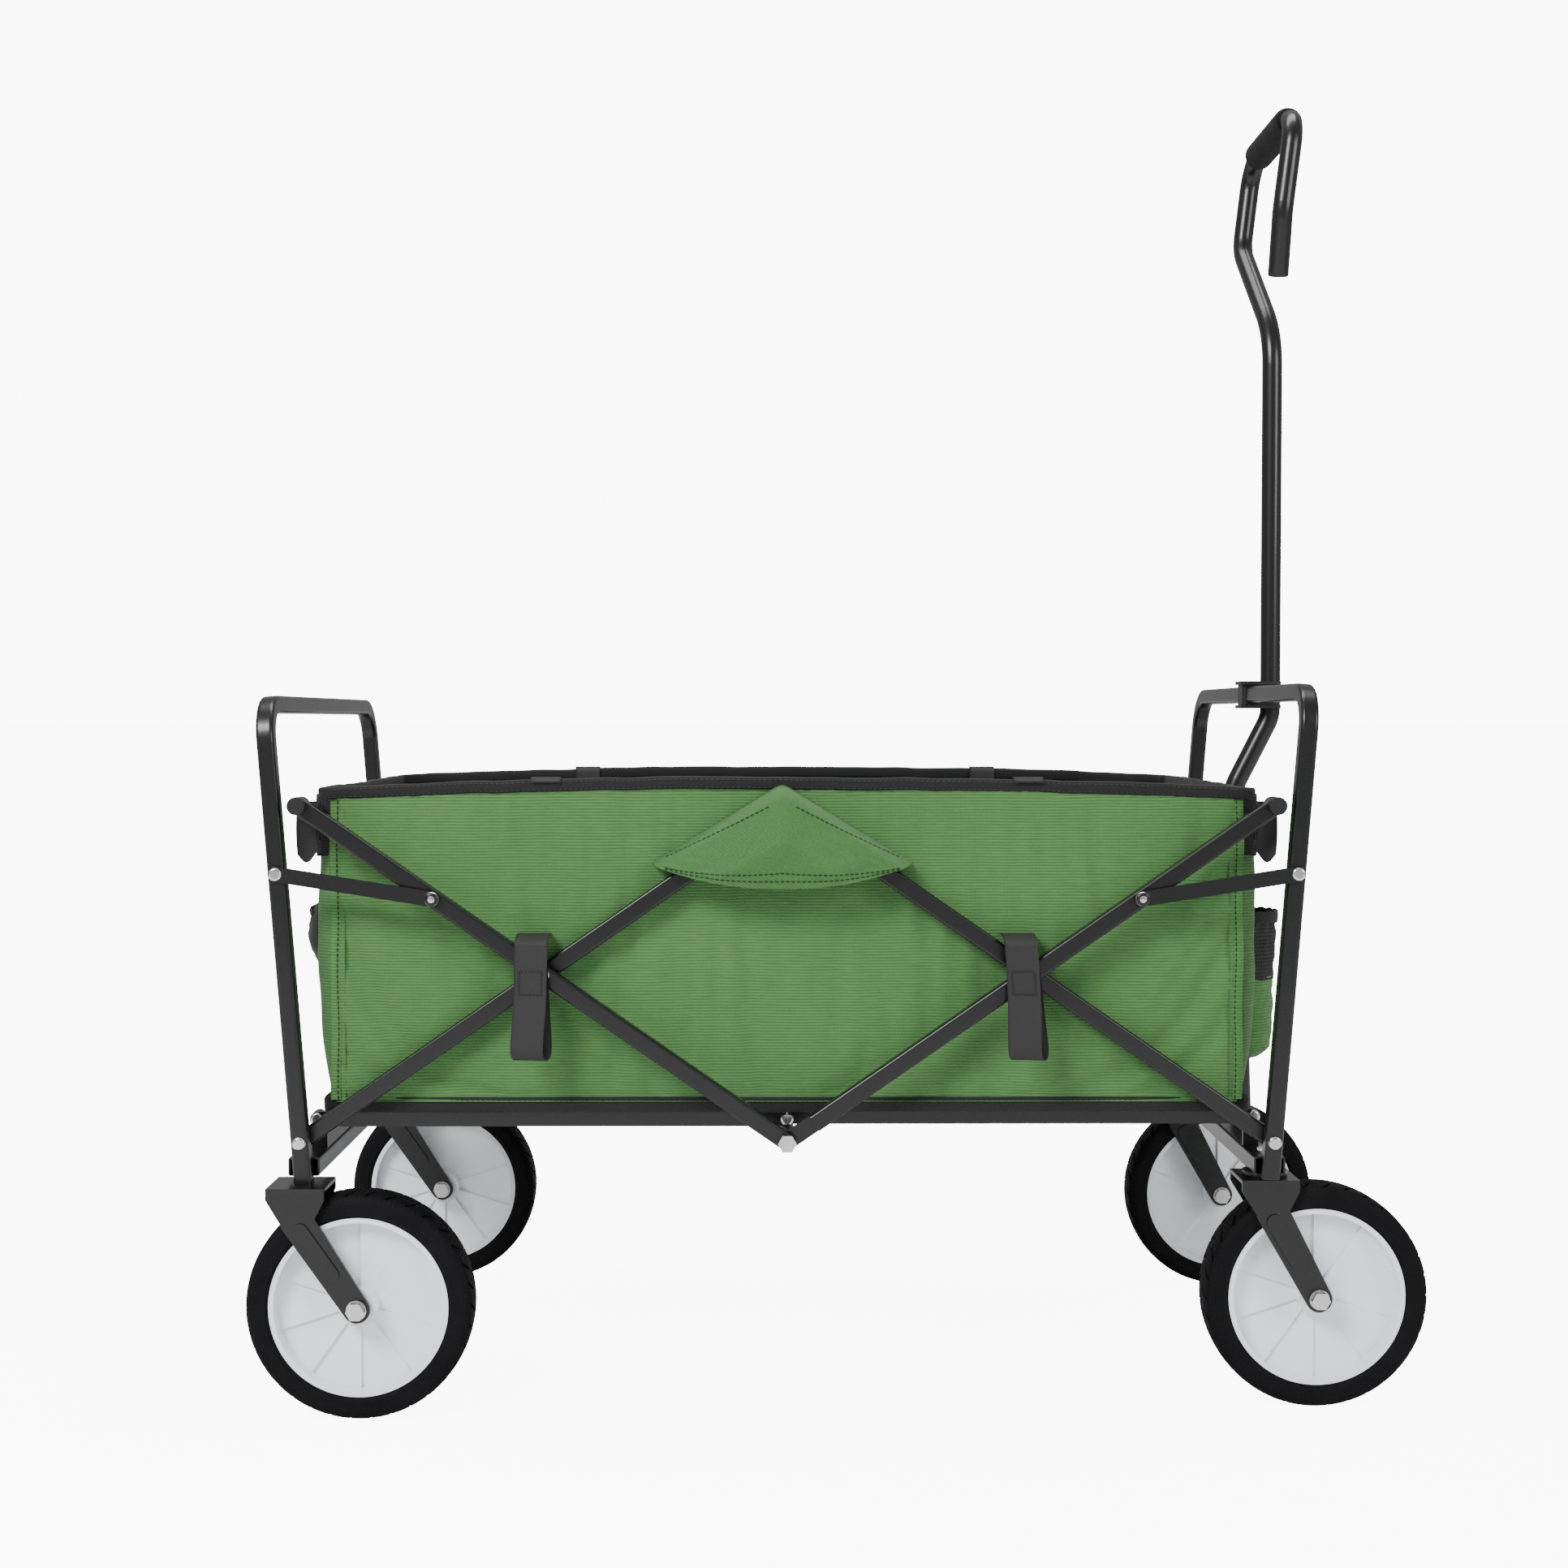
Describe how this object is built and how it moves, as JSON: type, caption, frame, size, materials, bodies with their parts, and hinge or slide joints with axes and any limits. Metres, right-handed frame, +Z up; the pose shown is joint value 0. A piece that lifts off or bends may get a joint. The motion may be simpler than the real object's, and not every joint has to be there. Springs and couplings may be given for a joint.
{
  "type": "folding utility wagon",
  "caption": "Folding garden wagon: black scissor frame, green fabric tub, white-disc wheels, swivel casters in front and an upright pull handle with an open loop grip.",
  "frame": {"origin": "on the ground, at the middle of the footprint box of the wagon standing open, casters trailing forward", "axes": "+X towards the pull-handle end, +Y across the wagon, +Z up"},
  "size_m": [0.943, 0.5162, 1.0787],
  "materials": {
    "powder_coat": "satin",
    "zinc": "satin",
    "black_plastic": "matte",
    "white_plastic": "gloss",
    "tyre_rubber": "matte",
    "foam": "matte",
    "green_cloth": "matte",
    "black_webbing": "matte"
  },
  "bodies": {
    "middle": {"middle_cross_tube": "powder_coat", "middle_bolts": "zinc"},
    "rear_upper_arms": {"upper_arm_rear_near": "powder_coat", "upper_arm_rear_far": "powder_coat", "rear_corner_knobs": "black_plastic", "rear_arm_rivets": "zinc"},
    "rear_lower_arms": {"lower_arm_rear_near": "powder_coat", "lower_arm_rear_far": "powder_coat", "top_middle_rivets": "zinc"},
    "rear_frame": {"rear_handle_frame": "powder_coat", "rear_cross_bar": "powder_coat", "rear_frame_rivets": "zinc", "rear_fork_near": "powder_coat", "rear_fork_far": "powder_coat", "rear_axle_bolts": "zinc"},
    "rear_links": {"rear_links": "powder_coat"},
    "rear_base": {"rear_base_frame": "powder_coat", "base_hinge_rivets": "zinc"},
    "front_upper_arms": {"upper_arm_front_near": "powder_coat", "upper_arm_front_far": "powder_coat", "front_corner_knobs": "black_plastic", "front_arm_rivets": "zinc"},
    "front_lower_arms": {"lower_arm_front_near": "powder_coat", "lower_arm_front_far": "powder_coat"},
    "front_frame": {"front_handle_frame": "powder_coat", "front_cross_bar": "powder_coat", "front_frame_rivets": "zinc", "caster_kingpins": "zinc", "caster_bearings": "powder_coat", "pull_bracket": "powder_coat", "pull_pivot_bolt": "zinc", "handle_clip": "black_plastic"},
    "front_links": {"front_links": "powder_coat"},
    "front_base": {"front_base_frame": "powder_coat"},
    "tub": {"side_panel_near": "green_cloth", "side_panel_far": "green_cloth", "end_panel_rear": "green_cloth", "end_panel_front": "green_cloth", "rim_binding": "black_webbing", "bottom_binding": "black_webbing", "floor_mat": "black_webbing", "flaps": "green_cloth", "straps": "black_webbing", "cup_holders": "black_webbing", "rear_pouch": "black_webbing"},
    "caster_near": {"caster_fork_near": "powder_coat", "caster_axle_near": "zinc"},
    "rear_wheel_near": {"tyre_rear_near": "tyre_rubber", "wheel_disc_rear_near": "white_plastic"},
    "front_wheel_near": {"tyre_front_near": "tyre_rubber", "wheel_disc_front_near": "white_plastic"},
    "caster_far": {"caster_fork_far": "powder_coat", "caster_axle_far": "zinc"},
    "rear_wheel_far": {"tyre_rear_far": "tyre_rubber", "wheel_disc_rear_far": "white_plastic"},
    "front_wheel_far": {"tyre_front_far": "tyre_rubber", "wheel_disc_front_far": "white_plastic"},
    "pull_handle": {"pull_tube": "powder_coat", "pull_grip": "foam", "pull_end_plug": "black_plastic"}
  },
  "joints": [
    {"name": "fold", "type": "hinge", "parent": "middle", "child": "rear_upper_arms", "pos_m": [-0.0435, 0, 0.218], "axis": [0, 1, 0], "range_deg": [0, 38], "deforming": ["side_panel_near", "side_panel_far", "end_panel_rear", "end_panel_front", "rim_binding", "bottom_binding", "floor_mat", "flaps", "straps", "cup_holders", "rear_pouch"]},
    {"name": "rear_lower_arm_turn", "type": "hinge", "parent": "rear_upper_arms", "child": "rear_lower_arms", "pos_m": [-0.2365, 0, 0.3515], "axis": [0, -1, 0], "range_deg": [0, 76]},
    {"name": "rear_frame_turn", "type": "hinge", "parent": "rear_lower_arms", "child": "rear_frame", "pos_m": [-0.4295, 0, 0.218], "axis": [0, 1, 0], "range_deg": [0, 38.11]},
    {"name": "rear_link_turn", "type": "hinge", "parent": "rear_frame", "child": "rear_links", "pos_m": [-0.44629, 0, 0.43134], "axis": [0, -1, 0], "range_deg": [0, 73.06]},
    {"name": "rear_base_turn", "type": "hinge", "parent": "rear_frame", "child": "rear_base", "pos_m": [-0.4235, 0, 0.23], "axis": [0, -1, 0], "range_deg": [0, 69.5]},
    {"name": "front_upper_arm_turn", "type": "hinge", "parent": "middle", "child": "front_upper_arms", "pos_m": [-0.0435, 0, 0.218], "axis": [0, -1, 0], "range_deg": [0, 38]},
    {"name": "front_lower_arm_turn", "type": "hinge", "parent": "front_upper_arms", "child": "front_lower_arms", "pos_m": [0.1495, 0, 0.3515], "axis": [0, 1, 0], "range_deg": [0, 76]},
    {"name": "front_frame_turn", "type": "hinge", "parent": "front_lower_arms", "child": "front_frame", "pos_m": [0.3425, 0, 0.218], "axis": [0, -1, 0], "range_deg": [0, 38.11]},
    {"name": "front_link_turn", "type": "hinge", "parent": "front_frame", "child": "front_links", "pos_m": [0.35929, 0, 0.43134], "axis": [0, 1, 0], "range_deg": [0, 73.06]},
    {"name": "front_base_turn", "type": "hinge", "parent": "front_frame", "child": "front_base", "pos_m": [0.3365, 0, 0.23], "axis": [0, 1, 0], "range_deg": [0, 69.5]},
    {"name": "tub_lift", "type": "slide", "parent": "middle", "child": "tub", "axis": [0, 0, 1], "range_m": [0, 0.18105]},
    {"name": "caster_swivel_near", "type": "hinge", "parent": "front_frame", "child": "caster_near", "pos_m": [0.3425, -0.196, 0.185], "axis": [0, 0, 1], "continuous": true},
    {"name": "front_wheel_spin_near", "type": "hinge", "parent": "caster_near", "child": "front_wheel_near", "pos_m": [0.3815, -0.196, 0.09], "axis": [0, 1, 0], "continuous": true},
    {"name": "rear_wheel_spin_near", "type": "hinge", "parent": "rear_frame", "child": "rear_wheel_near", "pos_m": [-0.3815, -0.226, 0.09], "axis": [0, 1, 0], "continuous": true},
    {"name": "caster_swivel_far", "type": "hinge", "parent": "front_frame", "child": "caster_far", "pos_m": [0.3425, 0.196, 0.185], "axis": [0, 0, 1], "continuous": true},
    {"name": "front_wheel_spin_far", "type": "hinge", "parent": "caster_far", "child": "front_wheel_far", "pos_m": [0.3815, 0.196, 0.09], "axis": [0, 1, 0], "continuous": true},
    {"name": "rear_wheel_spin_far", "type": "hinge", "parent": "rear_frame", "child": "rear_wheel_far", "pos_m": [-0.3815, 0.226, 0.09], "axis": [0, 1, 0], "continuous": true},
    {"name": "pull_handle_turn", "type": "hinge", "parent": "front_frame", "child": "pull_handle", "pos_m": [0.3645, 0, 0.197], "axis": [0, 1, 0], "range_deg": [0, 90]}
  ],
  "couplings": [
    {"joint": "rear_lower_arm_turn", "follows": "fold", "ratio": 2},
    {"joint": "rear_frame_turn", "follows": "fold", "ratio": 1.0028},
    {"joint": "rear_link_turn", "follows": "fold", "ratio": 1.9227},
    {"joint": "rear_base_turn", "follows": "fold", "ratio": 1.8288},
    {"joint": "front_upper_arm_turn", "follows": "fold", "ratio": 1},
    {"joint": "front_lower_arm_turn", "follows": "fold", "ratio": 2},
    {"joint": "front_frame_turn", "follows": "fold", "ratio": 1.0028},
    {"joint": "front_link_turn", "follows": "fold", "ratio": 1.9227},
    {"joint": "front_base_turn", "follows": "fold", "ratio": 1.8288},
    {"joint": "tub_lift", "follows": "fold", "m_per_rad": 0.27298}
  ]
}
